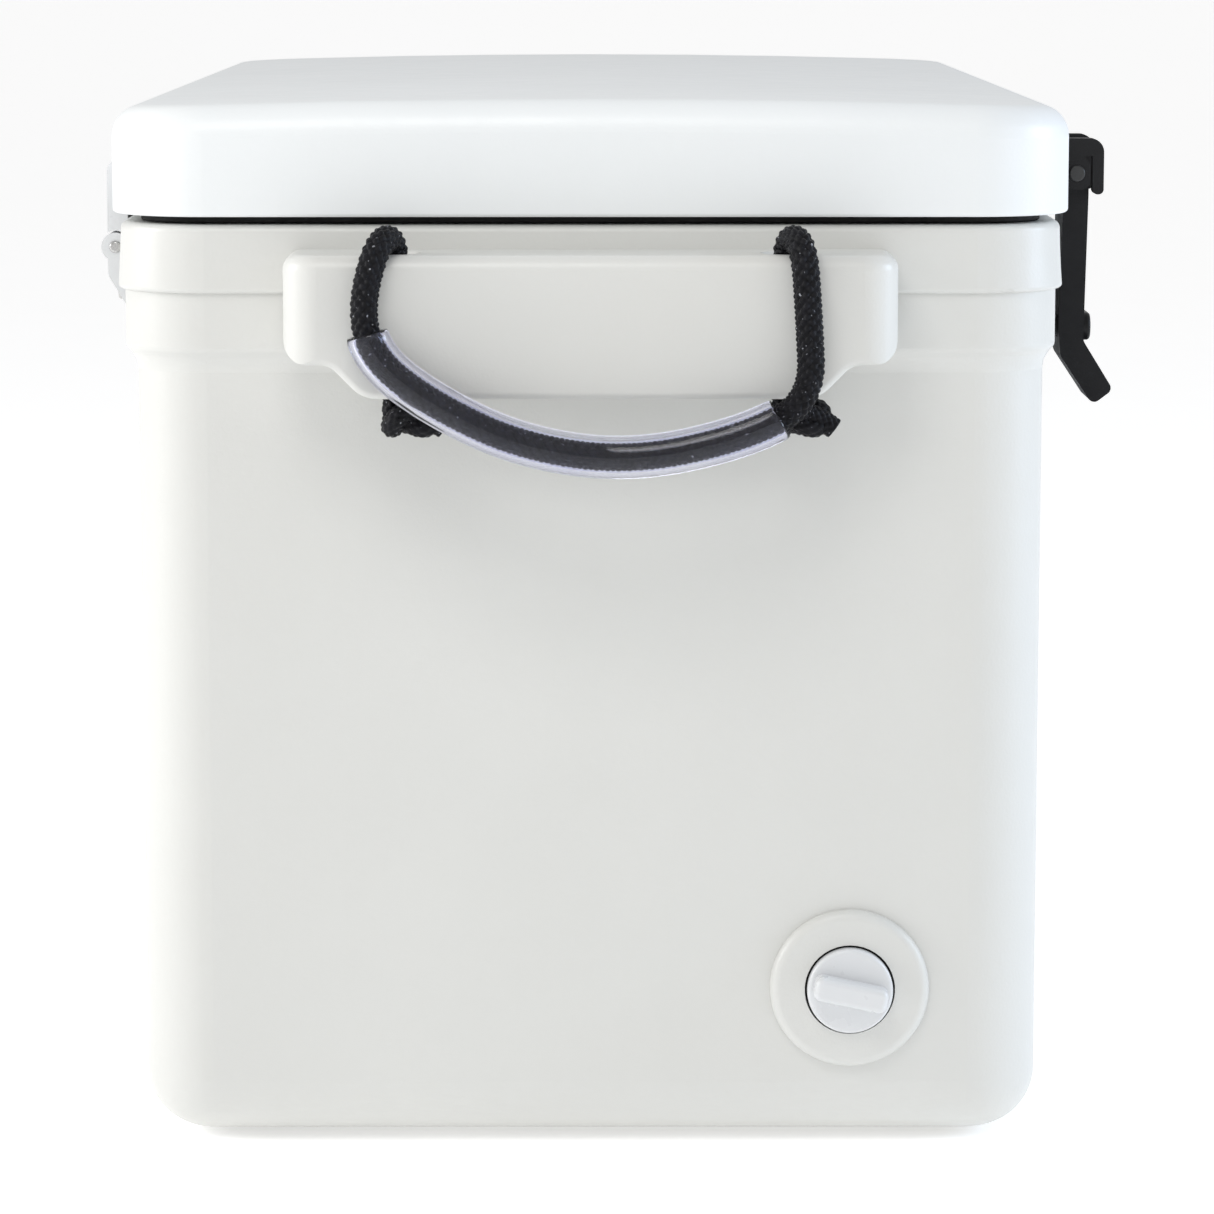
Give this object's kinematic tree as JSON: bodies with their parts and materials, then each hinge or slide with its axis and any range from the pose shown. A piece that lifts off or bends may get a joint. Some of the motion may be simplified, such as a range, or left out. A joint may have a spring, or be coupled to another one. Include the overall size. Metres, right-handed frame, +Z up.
{
  "type": "cooler chest",
  "caption": "Rotomoulded insulated cooler chest with a hinged lid, rubber strap latches, rope end handles with clear grip tubes and a screw-in drain plug.",
  "frame": {"origin": "under the middle of the whole chest, on the plane its feet stand on", "axes": "+X along the chest's long side, away from the drain end; -Y towards the latches; +Z up"},
  "size_m": [0.7964, 0.4316, 0.434],
  "materials": {
    "shell": "satin",
    "fitting_plastic": "satin",
    "foam": "matte",
    "latch_plastic": "satin",
    "latch_rubber": "matte",
    "seal_rubber": "matte",
    "foot_rubber": "matte",
    "rope": "matte",
    "clear_vinyl": "gloss",
    "steel": "satin",
    "black_steel": "satin"
  },
  "bodies": {
    "tub": {"tub_shell": "shell", "tub_foam": "foam", "tub_fill_plug": "shell", "drain_bushing": "fitting_plastic", "foot_front_left": "foot_rubber", "foot_front_right": "foot_rubber", "foot_rear_left": "foot_rubber", "foot_rear_right": "foot_rubber", "foot_screws": "steel", "tub_hinge_leaf_left": "fitting_plastic", "tub_hinge_leaf_right": "fitting_plastic", "hinge_pin_left": "steel", "hinge_pin_right": "steel", "tub_hinge_screws": "steel", "latch_keeper_left": "latch_plastic", "latch_keeper_right": "latch_plastic", "latch_keeper_screws": "black_steel", "rope_left": "rope", "rope_right": "rope"},
    "lid": {"lid_shell": "shell", "lid_foam": "foam", "lid_fill_plug": "shell", "lid_gasket": "seal_rubber", "lid_hinge_leaf_left": "fitting_plastic", "lid_hinge_leaf_right": "fitting_plastic", "lid_hinge_screws": "steel", "latch_hanger_left": "latch_plastic", "latch_hanger_right": "latch_plastic", "latch_hanger_screws": "black_steel"},
    "latch_left": {"latch_strap_left": "latch_rubber", "latch_pin_left": "steel"},
    "latch_right": {"latch_strap_right": "latch_rubber", "latch_pin_right": "steel"},
    "handle_left": {"grip_tube_left": "clear_vinyl"},
    "handle_right": {"grip_tube_right": "clear_vinyl"},
    "drain_seal": {"drain_seal": "seal_rubber"},
    "drain_plug": {"drain_plug": "fitting_plastic"}
  },
  "joints": [
    {"name": "lid_hinge", "type": "hinge", "parent": "tub", "child": "lid", "pos_m": [0, 0.2098, 0.369], "axis": [-1, 0, 0], "range_deg": [0, 105]},
    {"name": "latch_left_swing", "type": "hinge", "parent": "lid", "child": "latch_left", "pos_m": [-0.19, -0.1991, 0.398], "axis": [-1, 0, 0], "range_deg": [0, 150], "deforming": ["latch_strap_left"]},
    {"name": "latch_right_swing", "type": "hinge", "parent": "lid", "child": "latch_right", "pos_m": [0.19, -0.1991, 0.398], "axis": [-1, 0, 0], "range_deg": [0, 150], "deforming": ["latch_strap_right"]},
    {"name": "handle_left_swing", "type": "hinge", "parent": "tub", "child": "handle_left", "pos_m": [-0.372, 0.0094, 0.368], "axis": [0, 1, 0], "range_deg": [0, 120], "deforming": ["rope_left"]},
    {"name": "handle_right_swing", "type": "hinge", "parent": "tub", "child": "handle_right", "pos_m": [0.372, 0.0094, 0.368], "axis": [0, -1, 0], "range_deg": [0, 120], "deforming": ["rope_right"]},
    {"name": "drain_travel", "type": "slide", "parent": "tub", "child": "drain_seal", "axis": [-1, 0, 0], "range_m": [0, 0.0121]},
    {"name": "drain_turn", "type": "hinge", "parent": "drain_seal", "child": "drain_plug", "pos_m": [-0.34, -0.0976, 0.068], "axis": [-1, 0, 0], "range_deg": [0, 1080]}
  ],
  "couplings": [
    {"joint": "drain_travel", "follows": "drain_turn", "m_per_rad": 0.00063662}
  ]
}
